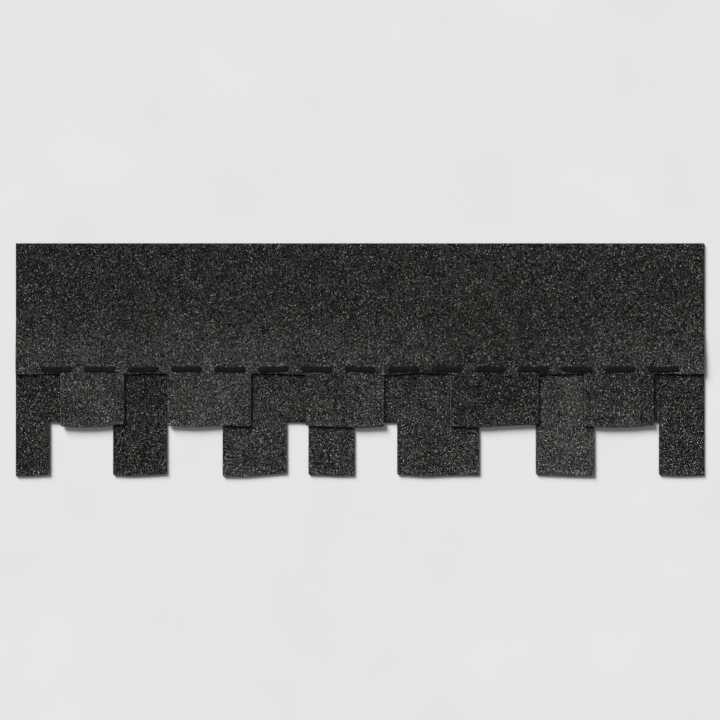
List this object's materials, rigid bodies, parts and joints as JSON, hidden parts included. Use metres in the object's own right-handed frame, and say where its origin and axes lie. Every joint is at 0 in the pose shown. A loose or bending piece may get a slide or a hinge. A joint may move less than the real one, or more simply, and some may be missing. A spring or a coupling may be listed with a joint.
{
  "type": "laminated asphalt roofing shingle",
  "caption": "Two-layer asphalt roofing shingle with staggered short and long tabs along its butt edge, a plain headlap and a broken line of self-seal adhesive.",
  "frame": {"origin": "centre of the shingle's outline on the floor, at the underside of the backing and of the headlap", "axes": "+X along the shingle, +Y up the roof from the butt edge to the headlap, +Z out of the weather face"},
  "size_m": [1, 0.3388, 0.0065],
  "materials": {
    "granule_overlay": "coarse black and grey mineral granules bedded in matte asphalt",
    "granule_backing": "darker coarse mineral granules bedded in matte asphalt",
    "sealant": "glossy black asphalt adhesive",
    "film": "thin clear-grey release film"
  },
  "bodies": {
    "root": {"overlay_sheet": "granule_overlay", "backing_sheet": "granule_backing", "sealant_strip": "sealant", "release_film": "film"}
  },
  "joints": []
}
